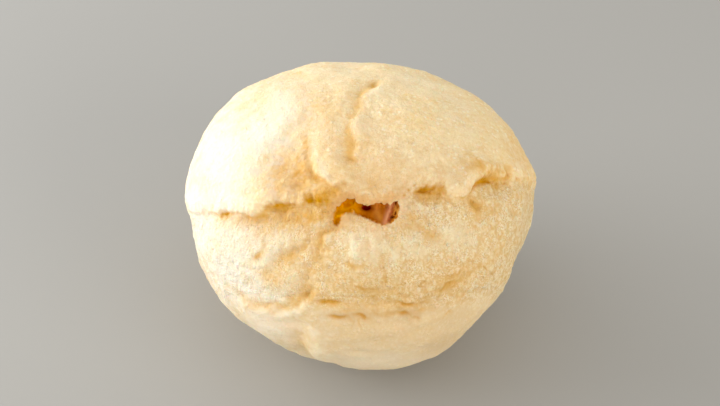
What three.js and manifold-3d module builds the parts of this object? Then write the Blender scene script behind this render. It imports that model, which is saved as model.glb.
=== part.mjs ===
// Cream puff: one soft, pale ball of baked dough that stands on its own flat foot.
// +Z is up, +X is to its right, and the origin is the middle of the foot's level.
// The dough has split along a seam that runs from side to side over its upper front. The seam
// is a sunken line with a fuller lip above it, and near its middle it opens into a small hollow.
// A shallow crease runs from the crown down to the seam, and a lower line parts the wrinkled
// upper skin from the smooth skin that curves in under the ball.
// Lengths are in millimetres and angles in degrees.

import * as THREE from "three";
import { mergeVertices } from "three/addons/utils/BufferGeometryUtils.js";
import Module from "manifold-3d";

// Driving dimensions of the ball.
const width = 83;
const depth = 82;
const height = 65.2;
const waist = 31.5; // height of the fullest level above the foot
const underReach = 36.1; // depth of the lower dome under the waist, before the foot cuts it
const fullness = 2.12; // 2 is an ellipsoid, more is squarer and less is slimmer
const underFullness = 1.78; // the same for the dome under the waist
const faceTilt = 44; // how far the middle of the seam's face looks up from the front

// The grid of the skin. Its columns run along the seam and crowd together near it.
const columns = 64;
const rings = 44;
const crowding = 0.6; // 0 spaces the columns evenly, 1 would close them up at the seam

// The face's own axes: across is +X, up climbs over the crown, out leaves the ball at the seam.
const tilt = THREE.MathUtils.degToRad(faceTilt);
const across = new THREE.Vector3(1, 0, 0);
const up = new THREE.Vector3(0, Math.sin(tilt), Math.cos(tilt));
const out = new THREE.Vector3(0, -Math.cos(tilt), Math.sin(tilt));

// Broad swellings and dents around the ball, as one looks straight at the seam's face: how far
// the dough stands proud at every 30 degrees, from the right-hand side up and over the crown.
const outline = {
  rises: [-0.2, 0.4, -1.3, -0.9, -0.1, 1.4, -1.7, -1.8, -3.4, -0.6, -0.2, -4.9],
  spread: 27, // how far each one spreads, in degrees
  forward: 0.1, // how far their places lean to the face
};

// Swellings and dents on the face itself: a place (across, up, out as parts of a direction), how
// far it spreads, and how far it stands proud.
const swellings = [
  { at: [0.3, 0.35, 0.9], spread: 20, rise: 1.2 }, // lobe right of the crown crease
  { at: [-0.45, 0.28, 0.85], spread: 13, rise: -1.3 }, // dent left of the crown crease
  { at: [0.0, -0.25, 0.95], spread: 18, rise: 0.8 }, // belly below the seam
  { at: [-0.99, 0.14, 0.1], spread: 10, rise: 1.1 }, // left end of the upper lip
  { at: [0.97, 0.24, 0.1], spread: 10, rise: 1.0 }, // right end of the upper lip
];
outline.rises.forEach((rise, i) => {
  const angle = (i / outline.rises.length) * 2 * Math.PI;
  const at = [Math.cos(angle), Math.sin(angle), outline.forward];
  swellings.push({ at, spread: outline.spread, rise });
});

// Sunken lines. Each is a route on the face in millimetres (across, up), which is the line's
// place as seen straight along out, with its half width and its depth.
const seam = {
  route: [
    [-39, 1], [-32, 0.5], [-25, 1], [-16, 2.5], [-8, 2.5], [-3, 3.5], [2, 1.5], [8, 2],
    [12, 4.5], [15, 5.5], [21, 4.5], [25, 7], [29, 8.5], [36, 8.5],
  ],
  halfWidth: 1.6,
  sink: 2.2,
  fullWithin: 26, // the seam keeps its whole depth this far to each side, and fades past it
};
const creases = [
  { route: [[4, 33], [1, 28], [-1, 24], [-2, 18], [-2.5, 9]], halfWidth: 1.6, sink: 0.9 },
  {
    route: [[-34, -10], [-25, -16], [-18, -18], [-10, -16], [2, -20], [13, -20], [26, -15]],
    halfWidth: 2.2,
    sink: 0.8,
  },
];
const lipAbove = 3.2; // distance from the seam up to the top of its lip
const lipRise = 0.9;

// The hollow where the seam has opened: its middle on the face, and its half sizes.
const hollow = { at: [4.3, 0.6], halfWidth: 4.1, halfHeight: 2.1, reach: 8 };

// A point on the smooth ball, measured from the middle of its waist, in a given direction.
function ballPoint(direction) {
  const share = (part, half, power) => Math.pow(Math.abs(part) / half, power);
  const level = share(direction.x, width / 2, fullness) + share(direction.y, depth / 2, fullness);
  const around = Math.pow(level, 1 / fullness);
  const isUnder = direction.z < 0;
  const reach = isUnder ? underReach : height - waist;
  const power = isUnder ? underFullness : fullness;
  const sum = Math.pow(around, power) + share(direction.z, reach, power);
  return direction.clone().multiplyScalar(Math.pow(sum, -1 / power));
}

// The direction that a place on the face has: from its across and up in millimetres, the way
// out is found by halving the gap until the point lies on the ball.
function directionOnFace(placeAcross, placeUp) {
  const pointAt = (reach) =>
    new THREE.Vector3()
      .addScaledVector(across, placeAcross)
      .addScaledVector(up, placeUp)
      .addScaledVector(out, reach);
  let inside = 0;
  let outside = width;
  for (let step = 0; step < 30; step++) {
    const middle = (inside + outside) / 2;
    const point = pointAt(middle);
    const surface = ballPoint(point.clone().normalize()).length();
    if (point.length() < surface) inside = middle;
    else outside = middle;
  }
  return pointAt(inside).normalize();
}

// A route as closely spaced points on the smooth ball.
function layRoute(route) {
  const corners = route.map(([a, b]) => ballPoint(directionOnFace(a, b)));
  return new THREE.CatmullRomCurve3(corners).getSpacedPoints(corners.length * 6);
}

// How far a point is from a laid route, and whether it is above it (positive) or below.
function distanceTo(laid, point) {
  let nearest = laid[0];
  for (const spot of laid) {
    if (spot.distanceToSquared(point) < nearest.distanceToSquared(point)) nearest = spot;
  }
  const gap = point.clone().sub(nearest);
  return Math.sign(gap.dot(up)) * gap.length();
}

const bell = (x) => Math.exp(-x * x);

function swell(direction) {
  let rise = 0;
  for (const { at, spread, rise: most } of swellings) {
    const middle = new THREE.Vector3()
      .addScaledVector(across, at[0])
      .addScaledVector(up, at[1])
      .addScaledVector(out, at[2])
      .normalize();
    const angle = THREE.MathUtils.radToDeg(direction.angleTo(middle));
    rise += most * bell(angle / spread);
  }
  return rise;
}

const laidSeam = layRoute(seam.route);
const laidCreases = creases.map(({ route }) => layRoute(route));

function skinPoint(direction) {
  const point = ballPoint(direction);
  const fromSeam = distanceTo(laidSeam, point);
  const fade = 1 - THREE.MathUtils.smoothstep(Math.abs(point.x), seam.fullWithin, width / 2);
  let rise = swell(direction);
  rise -= fade * seam.sink * bell(fromSeam / seam.halfWidth);
  rise += fade * lipRise * bell((fromSeam - lipAbove) / lipAbove);
  creases.forEach(({ halfWidth, sink }, i) => {
    rise -= sink * bell(distanceTo(laidCreases[i], point) / halfWidth);
  });
  return point.addScaledVector(direction, rise);
}

// A closed geometry, with its shared corners merged, as a solid.
const wasm = await Module();
wasm.setup();

function solidOf(geometry) {
  const bare = geometry.clone();
  bare.deleteAttribute("normal");
  bare.deleteAttribute("uv");
  const merged = mergeVertices(bare, 1e-4);
  return new wasm.Manifold(
    new wasm.Mesh({
      numProp: 3,
      vertProperties: merged.attributes.position.array,
      triVerts: new Uint32Array(merged.index.array),
    }),
  );
}

// The skin: a sphere with its poles at the left and right ends, each point moved on to the puff.
function skinGeometry() {
  const geometry = new THREE.SphereGeometry(1, columns, rings);
  const position = geometry.attributes.position;
  const direction = new THREE.Vector3();
  for (let i = 0; i < position.count; i++) {
    direction.fromBufferAttribute(position, i);
    const around = Math.atan2(direction.x, direction.z);
    const crowded = around - crowding * Math.sin(around);
    const reach = Math.hypot(direction.x, direction.z);
    const onPuff = new THREE.Vector3()
      .addScaledVector(across, -direction.y)
      .addScaledVector(up, reach * Math.sin(crowded))
      .addScaledVector(out, reach * Math.cos(crowded))
      .normalize();
    const point = skinPoint(onPuff);
    position.setXYZ(i, point.x, point.y, point.z);
  }
  return geometry;
}

function hollowGeometry() {
  const middle = directionOnFace(...hollow.at);
  const mouth = skinPoint(middle);
  const geometry = new THREE.SphereGeometry(1, 20, 14);
  const place = new THREE.Matrix4().makeBasis(across, up, out);
  place.scale(new THREE.Vector3(hollow.halfWidth, hollow.halfHeight, hollow.reach));
  place.setPosition(mouth);
  return geometry.applyMatrix4(place);
}

// Everything under the foot's level.
function belowGeometry() {
  const thickness = height;
  return new THREE.BoxGeometry(2 * width, 2 * depth, thickness).translate(
    0,
    0,
    -waist - thickness / 2,
  );
}

const cutSolid = solidOf(skinGeometry())
  .subtract(solidOf(hollowGeometry()))
  .subtract(solidOf(belowGeometry()));

// The finished solid as a geometry, with its box's middle over the origin and its foot at 0.
const made = cutSolid.getMesh();
const puffGeometry = new THREE.BufferGeometry()
  .setAttribute("position", new THREE.BufferAttribute(made.vertProperties, 3))
  .setIndex(new THREE.BufferAttribute(made.triVerts, 1));
puffGeometry.computeBoundingBox();
const middleOfBox = puffGeometry.boundingBox.getCenter(new THREE.Vector3());
puffGeometry.translate(-middleOfBox.x, -middleOfBox.y, waist);
puffGeometry.computeVertexNormals();

const crust = new THREE.MeshStandardMaterial({
  color: 0xeed3a2,
  roughness: 0.7,
  metalness: 0,
});

const creamPuff = new THREE.Mesh(puffGeometry, crust);
creamPuff.name = "cream_puff";

const group = new THREE.Group();
group.add(creamPuff);

export default group;
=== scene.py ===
import math

import bmesh
import bpy
import numpy as np
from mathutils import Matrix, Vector, kdtree, noise


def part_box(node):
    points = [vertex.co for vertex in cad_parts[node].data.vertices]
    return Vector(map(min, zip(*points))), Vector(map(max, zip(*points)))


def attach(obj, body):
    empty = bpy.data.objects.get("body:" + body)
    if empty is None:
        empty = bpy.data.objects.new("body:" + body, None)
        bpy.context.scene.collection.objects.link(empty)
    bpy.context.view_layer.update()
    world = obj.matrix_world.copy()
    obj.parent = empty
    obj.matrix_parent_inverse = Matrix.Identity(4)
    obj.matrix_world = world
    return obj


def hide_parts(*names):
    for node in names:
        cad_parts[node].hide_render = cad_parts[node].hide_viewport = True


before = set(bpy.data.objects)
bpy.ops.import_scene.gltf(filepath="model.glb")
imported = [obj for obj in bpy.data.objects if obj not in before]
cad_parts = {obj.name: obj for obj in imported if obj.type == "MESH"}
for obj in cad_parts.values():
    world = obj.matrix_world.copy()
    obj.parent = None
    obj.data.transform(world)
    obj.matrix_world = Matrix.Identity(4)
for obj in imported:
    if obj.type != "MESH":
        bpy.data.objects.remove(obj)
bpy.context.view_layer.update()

# The cream puff's look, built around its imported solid. Shapes are worked out in millimetres from
# the middle of the ball's waist, then set into the solid's own box, in metres.

node = "cream_puff"
low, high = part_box(node)
mm = 0.001

ball = {
    "width": 83,
    "depth": 82,
    "height": 65.2,
    "waist": 31.5,         # the fullest level, above the foot
    "underReach": 36.1,    # how deep the lower dome would be without its foot
    "fullness": 2.12,      # 2 is an ellipsoid, more is squarer and less is slimmer
    "underFullness": 1.78,
    "footSoftness": 1.0,   # how softly the skin turns in where it meets the table
    "faceTilt": 44,        # how far the seam's face looks up from the front, in degrees
}

tilt = math.radians(ball["faceTilt"])
across = np.array((1, 0, 0))                            # along the seam, to the right
up = np.array((0, math.sin(tilt), math.cos(tilt)))      # over the crown
out = np.array((0, -math.cos(tilt), math.sin(tilt)))    # off the ball at the seam


def ballPoints(directions):
    # points on the smooth ball, from the middle of its waist
    under = directions[:, 2] < 0
    reach = np.where(under, ball["underReach"], ball["height"] - ball["waist"])
    power = np.where(under, ball["underFullness"], ball["fullness"])
    level = (np.abs(directions[:, 0]) / (ball["width"] / 2)) ** ball["fullness"]
    level += (np.abs(directions[:, 1]) / (ball["depth"] / 2)) ** ball["fullness"]
    around = level ** (1 / ball["fullness"])
    total = around ** power + (np.abs(directions[:, 2]) / reach) ** power
    return directions * (total ** (-1 / power))[:, None]


def bell(x):
    return np.exp(-x * x)


def ease(x, start, end):
    # 0 before start and 1 after end, smooth between
    share = np.clip((x - start) / (end - start), 0, 1)
    return share * share * (3 - 2 * share)


def unevenness(points, size, seed, where=None):
    # smooth noise, about -1 to 1, whose lumps are size mm across
    shift = Vector((seed * 17.3, seed * 5.1, seed * 9.7))
    values = np.zeros(len(points))
    chosen = np.arange(len(points)) if where is None else np.flatnonzero(where)
    values[chosen] = [noise.noise(Vector(points[i]) / size + shift) * 2 for i in chosen]
    return values


def onFace(placeAcross, placeUp):
    # the point of the smooth ball seen at a place on its face, looking straight in along out
    inside, outside = 0.0, ball["width"]
    for step in range(30):
        middle = (inside + outside) / 2
        point = across * placeAcross + up * placeUp + out * middle
        length = np.linalg.norm(point)
        if length < np.linalg.norm(ballPoints(point[None] / length)):
            inside = middle
        else:
            outside = middle
    return across * placeAcross + up * placeUp + out * inside


class Route:
    # a line laid on the smooth ball, through corners given as (across, up, more values ...) in mm

    def __init__(self, corners, spacing=0.25):
        places = np.array([[*onFace(c[0], c[1]), *c[2:]] for c in corners])
        rows = [places[0]]
        padded = np.vstack([2 * places[0] - places[1], places, 2 * places[-1] - places[-2]])
        for a, b, c, d in zip(padded, padded[1:], padded[2:], padded[3:]):
            steps = max(2, int(np.linalg.norm(c[:3] - b[:3]) / spacing))
            for step in range(1, steps + 1):
                t = step / steps
                rows.append(0.5 * (2 * b + (c - a) * t + (2 * a - 5 * b + 4 * c - d) * t ** 2
                                   + (3 * b - a - 3 * c + d) * t ** 3))
        rows = np.array(rows)
        lengths = np.linalg.norm(rows[:, :3], axis=1, keepdims=True)
        self.points = ballPoints(rows[:, :3] / lengths)
        self.values = rows[:, 3:]
        self.along = np.gradient(self.points, axis=0)
        self.along /= np.linalg.norm(self.along, axis=1, keepdims=True)
        self.side = np.cross(self.points / lengths, self.along)      # to the left of the way it runs
        self.side /= np.linalg.norm(self.side, axis=1, keepdims=True)
        self.spacing = spacing
        self.tree = kdtree.KDTree(len(self.points))
        for i, point in enumerate(self.points):
            self.tree.insert(point, i)
        self.tree.balance()

    def near(self, points):
        # for each point: how far to the line's left it is, how far past its ends, and the spot
        spots = np.array([self.tree.find(p)[1] for p in points])
        gap = points - self.points[spots]
        aside = np.einsum("ij,ij->i", gap, self.side[spots])
        past = np.abs(np.einsum("ij,ij->i", gap, self.along[spots]))
        return aside, np.maximum(0, past - self.spacing), spots


class Skin:
    # every point of the ball's skin, and what has been done to it so far, in mm

    def __init__(self, directions):
        self.directions = directions
        self.base = ballPoints(directions)
        self.across = self.base @ across
        self.up = self.base @ up
        self.out = self.base @ out
        self.front = ease(self.out, -26, 12)
        self.overSeam = None        # how far above the seam, once it is laid
        self.rise = np.zeros(len(directions))
        self.slide = np.zeros((len(directions), 3))
        self.marks = {}

    def mark(self, name, amount):
        self.marks[name] = np.maximum(self.marks.get(name, 0), amount)

    def spot(self, place, size, turn=0):
        # how far each point is from a place on the face, as a share of an oval's half sizes
        angle = math.radians(turn)
        right, over = self.across - place[0], self.up - place[1]
        first = (right * math.cos(angle) + over * math.sin(angle)) / size[0]
        second = (over * math.cos(angle) - right * math.sin(angle)) / size[1]
        behind = 4 * ease(-self.out, -6, 16)      # the far side of the ball has no such place
        return np.hypot(first, second) + behind


# Broad swellings and dents around the ball, as one looks straight at the seam's face: how far the
# dough stands proud at every 30 degrees, from the right-hand side up and over the crown.
outline = {
    "rises": [-0.2, 0.4, -1.3, -0.9, -0.1, 1.4, -1.7, -1.8, -3.4, -0.6, -0.2, -4.9],
    "spread": 27,
    "forward": 0.1,
    # smaller ones: the angle in degrees, and the rise
    "touches": [(48, 0.5), (62, -0.9), (83, 0.7), (94, -0.5), (134, 0.3), (150, -0.3), (206, 0.6),
                (280, 0.3), (305, -0.4), (316, 0.2), (351, -0.3)],
    "touchSpread": 7,
}

# Swellings and dents on the face: place (across, up), half sizes, turn in degrees, rise in mm.
swellings = [
    ((11, 15), (15, 13), 0, 1.1),            # lobe right of the crown crease
    ((-5.6, 14.5), (3.4, 8.5), 8, 0.55),     # narrow lobe left of it
    ((-11.9, 11), (0.7, 2.6), 15, 0.3),      # thin ridge beside it
    ((-15.4, 9.5), (4.8, 6.8), -28, -1.3),   # valley beside that
    ((-12, 18), (4, 6), -20, -0.5),          # upper end of the valley
    ((-26, 14), (9, 9), 0, 0.5),             # left shoulder
    ((3.2, -6.8), (7.5, 6), 0, 1.3),         # chin under the hollow
    ((-14.5, -5.5), (5, 3.4), 25, -0.35),    # dent left of the chin
    ((-28, -4.5), (7, 5), -15, 0.7),         # left cheek
    ((14.5, -5.5), (4, 5), -30, -0.45),      # dent right of the chin
    ((31, -2), (6, 6), 0, 0.6),              # right cheek
    ((30, 3.2), (5, 1.9), 8, 0.9),           # puffy lower lip at the right
    ((20.5, 9), (6, 3.2), -15, 0.7),         # upper lip at the right
    ((2.9, 30.7), (1.5, 0.75), 25, -0.65),   # notch in the crown
    ((4.0, 28.4), (1.9, 0.9), 30, 0.4),      # ridge under the notch
    ((-1.2, 19.8), (1.0, 2.0), -15, 0.35),   # small fold across the crease
    ((31.6, 11), (1.6, 2.6), 10, -0.6),      # dimple at the far right
    ((-1.3, -6.2), (1.2, 3.0), 0, 0.5),      # two ridges that run down the chin
    ((7.2, -7.4), (1.5, 2.4), -15, 0.35),
    ((9.1, 2.1), (1.0, 2.2), -15, 0.4),      # bridge right of the hollow
    ((-18.5, -6.2), (4.5, 1.3), 33, 0.35),   # ridge from the nick towards the hollow
    ((-3.5, -25), (11, 4), 0, 0.5),          # smooth skin under the lower line
    ((-15.5, -24), (4, 5), 20, -0.8),        # dent at the top of the foot's upright fold
    ((8, -13.5), (14, 3.5), 0, 0.4),         # fullness above the lower line
    ((-38.5, 5), (5, 6), 0, 1.3),            # the two ends of the upper lip
    ((38.5, 7.5), (5, 7), 0, 0.9),
]

# Folds: a line the skin has sunk along, with a lip standing on its left-hand side as it runs.
# Corners are (across, up, strength).
plainFold = {
    "widths": (0.9, 0.9),    # to the left and to the right of the line, in mm
    "sink": 0.6,             # how deep the line is
    "lip": 0.15,             # how far its lip stands proud
    "lipAt": 1.8,            # and how far from the line
    "over": 0.0,             # how far the lip hangs over the line
    "tan": 0.3,              # colours along the line, 0 to 1, partly painted shade in it
    "amber": 0.0,
    "streak": 0.0,
    "tintWidth": 0.9,
    "ragged": 0.3,           # how far the line strays
    "broken": 0.25,          # how much it comes and goes
    "fade": 1.5,             # how softly it ends
}
folds = [
    # the crown crease
    {"corners": [(4.4, 31.4, 0.5), (2.9, 30.3, 1.2), (1.1, 28.9, 0.8), (-0.1, 27.4, 0.8),
                 (-0.3, 25.7, 0.9), (-0.7, 23.8, 1.0), (-1.1, 22.4, 0.7), (-1.8, 21, 0.35),
                 (-2.2, 19, 0.5), (-2.1, 17, 0.8), (-1.8, 14.4, 0.9), (-1.9, 12.4, 1.1),
                 (-1.5, 10.8, 0.4)],
     "widths": (1.0, 2.3), "sink": 0.55, "lip": 0.05, "lipAt": 1.7, "tan": 0.85, "tintWidth": 1.2,
     "ragged": 0.2},
    {"corners": [(-2.6, 12.9, 0.5), (-1.9, 12.4, 1), (-1.2, 11.8, 0.5)],
     "widths": (0.4, 0.5), "sink": 0.25, "streak": 0.6, "tintWidth": 0.4, "fade": 0.5},
    # the shoulder of the valley left of the narrow lobe
    {"corners": [(-11.6, 23, 0.2), (-12.4, 21.6, 0.5), (-15.6, 18.6, 1), (-18.8, 14.9, 1),
                 (-20.8, 11, 0.9), (-21.6, 7, 0.4)],
     "widths": (4.0, 1.2), "sink": 0.6, "tan": 0.0, "ragged": 0.6, "broken": 0.2},
    # the edge of the narrow lobe, turning in to the seam
    {"corners": [(-11.6, 15.6, 0.2), (-11, 13.4, 0.5), (-10, 11.2, 0.7), (-9.6, 9.3, 0.8),
                 (-8.8, 7.7, 1.1), (-7.3, 6.8, 1.2), (-5.6, 6.5, 1.1), (-4.2, 6.1, 0.9),
                 (-2.6, 6.4, 0.5), (-1, 6.4, 0.1)],
     "widths": (0.5, 1.7), "sink": 0.6, "lip": 0.3, "lipAt": 1.0, "over": 0.1, "tan": 0.6,
     "tintWidth": 1.6, "ragged": 0.5, "broken": 0.4},
    {"corners": [(-16, 5.8, 0.4), (-13.4, 6.7, 1), (-11.8, 6.8, 0.9), (-9.8, 6.3, 0.3)],
     "widths": (0.4, 0.8), "sink": 0.35, "tan": 0.4, "tintWidth": 0.8},
    # nick and pleats under the seam
    {"corners": [(-23, -9.5, 0.3), (-22.2, -8.8, 0.9), (-21.2, -8, 0.9), (-20.2, -7.2, 0.3)],
     "widths": (0.5, 0.7), "sink": 0.3, "lip": 0.2, "lipAt": 1.2, "tan": 0.8, "tintWidth": 0.8,
     "fade": 0.6},
    {"corners": [(-2.5, -9.7, 0.5), (-1.3, -10.2, 1), (0.2, -9.8, 0.5)],
     "widths": (0.35, 0.6), "sink": 0.3, "tan": 0.8, "streak": 0.4, "tintWidth": 0.6, "ragged": 0.6,
     "fade": 0.5},
    {"corners": [(-21, -11.5, 0.3), (-17.4, -9.2, 0.8), (-14.2, -7.2, 1), (-10.5, -5, 0.3)],
     "widths": (1.0, 2.2), "sink": 0.4, "lip": 0.35, "lipAt": 2.0, "tan": 0.6, "tintWidth": 2.0,
     "ragged": 0.6},
    {"corners": [(-5.3, -2.2, 1), (-6.3, -3.1, 1), (-7.4, -4.2, 1), (-7.9, -5.9, 1),
                 (-8.1, -7.5, 1), (-8.9, -9.7, 0.8), (-10.6, -12.1, 0.8), (-10.9, -14.4, 0.7),
                 (-11.1, -16.4, 0.7)],
     "widths": (0.8, 1.8), "sink": 0.45, "lip": 0.2, "lipAt": 1.4, "tan": 0.8, "tintWidth": 1.5,
     "ragged": 0.6, "broken": 0.5},
    {"corners": [(8.6, -0.6, 0.4), (9.6, -1.7, 0.8), (12.6, -2.8, 1), (15.4, -4.0, 1),
                 (17.3, -4.4, 0.4)],
     "widths": (1.2, 0.6), "sink": 0.5, "lip": 0.2, "tan": 0.5, "tintWidth": 1.0, "ragged": 0.5},
    {"corners": [(4.8, -9.2, 0.5), (5, -11, 1), (4.8, -12.7, 1), (4.6, -14.2, 0.4)],
     "widths": (0.5, 0.7), "sink": 0.35, "lip": 0.1, "tan": 0.7, "tintWidth": 0.8, "ragged": 0.5},
    {"corners": [(23.3, 3.5, 0.4), (24.3, 2.7, 1.2), (25, 1.7, 1), (25.1, 0.5, 0.4)],
     "widths": (0.9, 0.9), "sink": 0.4, "lip": 0.1, "tan": 0.8, "streak": 0.5, "tintWidth": 0.9,
     "ragged": 0.5, "broken": 0.5},
    {"corners": [(24.5, 11.9, 0.4), (25, 10.8, 1), (25.2, 9.8, 0.4)],
     "widths": (0.4, 0.5), "sink": 0.2, "tan": 0.6, "streak": 0.3, "tintWidth": 0.5, "fade": 0.6},
    {"corners": [(31.6, 13, 0.4), (32.4, 10, 1), (32.5, 7.2, 0.6)],
     "widths": (0.7, 0.7), "sink": 0.5, "tan": 0.5, "amber": 0.1},
    # the lower line, where the wrinkled skin ends: its lip is on the smooth side
    {"corners": [(-11.3, -16.4, 0.7), (-11.6, -17.2, 1.1), (-12.8, -18.1, 1.1), (-14.5, -19.1, 1),
                 (-16.6, -19.9, 0.9), (-19.3, -20.3, 1), (-21.6, -20, 0.7), (-24, -19, 0.5),
                 (-26.3, -18, 0.5), (-28.9, -16.8, 0.3), (-31.4, -14.4, 0.2)],
     "widths": (0.7, 2.0), "sink": 0.4, "lip": 0.25, "lipAt": 1.8, "tan": 0.7, "tintWidth": 1.5,
     "ragged": 0.5, "broken": 0.6},
    {"corners": [(-10.8, -16.1, 0.5), (-11.4, -17, 1), (-12.2, -17.7, 0.5)],
     "widths": (0.5, 0.8), "sink": 0.15, "tan": 0.6, "streak": 0.4, "tintWidth": 0.8, "fade": 0.6},
    {"corners": [(-2.2, -18.7, 0.3), (-3.9, -18.6, 0.6), (-5.8, -18.5, 1), (-7.2, -18, 1.1),
                 (-8.6, -18.2, 1), (-9.8, -17.8, 0.5)],
     "widths": (0.7, 0.4), "sink": 0.35, "lip": 0.15, "tan": 1.0, "streak": 0.5, "tintWidth": 0.4,
     "ragged": 0.4},
    {"corners": [(-3.4, -20.2, 0.6), (-1.7, -20.2, 0.6)],
     "widths": (0.3, 0.4), "sink": 0.15, "tan": 0.9, "tintWidth": 0.4, "fade": 0.6},
    {"corners": [(-6.5, -21.3, 0.6), (-5.4, -21.5, 1), (-4.4, -21.7, 0.9), (-3, -21.5, 0.4)],
     "widths": (0.35, 0.5), "sink": 0.3, "streak": 1.1, "tintWidth": 0.45, "ragged": 0.2,
     "broken": 0.6, "fade": 0.5},
    {"corners": [(-1.3, -21, 0.5), (-0.1, -21.1, 0.8), (0.8, -21.4, 1.2), (1.5, -21.8, 0.5)],
     "widths": (0.35, 0.5), "sink": 0.3, "streak": 1.2, "tintWidth": 0.45, "ragged": 0.2,
     "broken": 0.5, "fade": 0.5},
    {"corners": [(-0.4, -21.8, 0.6), (-0.3, -22.7, 0.8), (0.2, -23.5, 0.6), (0.3, -24.2, 0.3)],
     "widths": (0.25, 0.25), "sink": 0.12, "streak": 0.4, "tintWidth": 0.25, "ragged": 0.2,
     "fade": 0.4},
    {"corners": [(-2.2, -21.9, 0.5), (-1.5, -22.6, 0.7), (-1.8, -23.7, 0.4)],
     "widths": (0.25, 0.25), "sink": 0.12, "streak": 0.4, "tintWidth": 0.25, "ragged": 0.2,
     "fade": 0.4},
    {"corners": [(3.2, -20.6, 0.4), (4.3, -21.1, 0.6)],
     "widths": (0.3, 0.4), "sink": 0.15, "streak": 0.6, "tintWidth": 0.35, "ragged": 0.2,
     "fade": 0.5},
    {"corners": [(5.6, -20.9, 0.3), (8, -20.7, 0.6), (9.4, -20.7, 1), (10.4, -21.2, 0.7),
                 (11, -21.7, 1), (12, -21.8, 0.4)],
     "widths": (0.4, 0.55), "sink": 0.32, "tan": 0.5, "streak": 1.2, "tintWidth": 0.45,
     "ragged": 0.25, "broken": 0.6, "fade": 0.5},
    {"corners": [(12.4, -20.1, 0.4), (13.6, -19.9, 0.7), (15, -19.9, 0.3)],
     "widths": (0.3, 0.4), "sink": 0.15, "tan": 0.9, "tintWidth": 0.4, "ragged": 0.2, "fade": 0.6},
    {"corners": [(6, -18.4, 0.3), (7.9, -18.3, 0.5), (9.8, -18.9, 1), (12.1, -18.7, 0.5)],
     "widths": (0.35, 0.5), "sink": 0.3, "tan": 0.5, "streak": 1.0, "tintWidth": 0.45,
     "ragged": 0.25, "broken": 0.7},
    {"corners": [(13.4, -17.4, 0.3), (15, -16.7, 0.8), (16.8, -15.6, 1), (19.3, -14.2, 0.8),
                 (21.8, -13, 0.5), (25.4, -10.6, 0.2)],
     "widths": (0.45, 0.7), "sink": 0.3, "lip": 0.12, "lipAt": 1.2, "tan": 0.7, "streak": 0.35,
     "tintWidth": 0.6, "ragged": 0.35, "broken": 0.6},
    {"corners": [(16.6, -14.3, 0.3), (18.4, -13.4, 0.9), (20.4, -12.2, 0.5), (23, -10.6, 0.2)],
     "widths": (0.4, 0.6), "sink": 0.2, "tan": 0.6, "streak": 0.4, "tintWidth": 0.5, "ragged": 0.35,
     "broken": 0.6},
    {"corners": [(18.1, -21.7, 0.4), (18.8, -21, 0.9), (19.4, -21.3, 0.3)],
     "widths": (0.3, 0.4), "sink": 0.2, "tan": 0.6, "streak": 0.5, "tintWidth": 0.4, "ragged": 0.3,
     "fade": 0.5},
    # level folds of the smooth skin, and the upright one that stands on the foot
    {"corners": [(-9.4, -24.2, 0.3), (-13, -23.9, 1), (-16.6, -23.7, 0.8), (-20.5, -22.3, 0.3)],
     "widths": (0.7, 0.9), "sink": 0.25, "tan": 0.12, "ragged": 0.3},
    {"corners": [(-12.6, -21.5, 0.15), (-12.8, -24, 0.4), (-13.1, -26.4, 0.9), (-13.3, -28.2, 1.2),
                 (-13.2, -30, 1.2), (-12.2, -32.8, 0.8)],
     "widths": (1.8, 4.4), "sink": 0.95, "lip": 0.5, "lipAt": 3.4, "tan": 0.35, "tintWidth": 2.6,
     "ragged": 0.25, "broken": 0.1, "fade": 4},
    {"corners": [(-3, -27.6, 0.4), (8.5, -25.6, 1), (19.4, -22.4, 0.4)],
     "widths": (1.2, 1.6), "sink": 0.25, "tan": 0.08, "ragged": 0.2},
    {"corners": [(-6, -30.4, 0.3), (-1, -29.6, 1), (5, -29.8, 0.4)],
     "widths": (0.6, 0.8), "sink": 0.2, "tan": 0.1, "ragged": 0.3},
]

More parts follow.
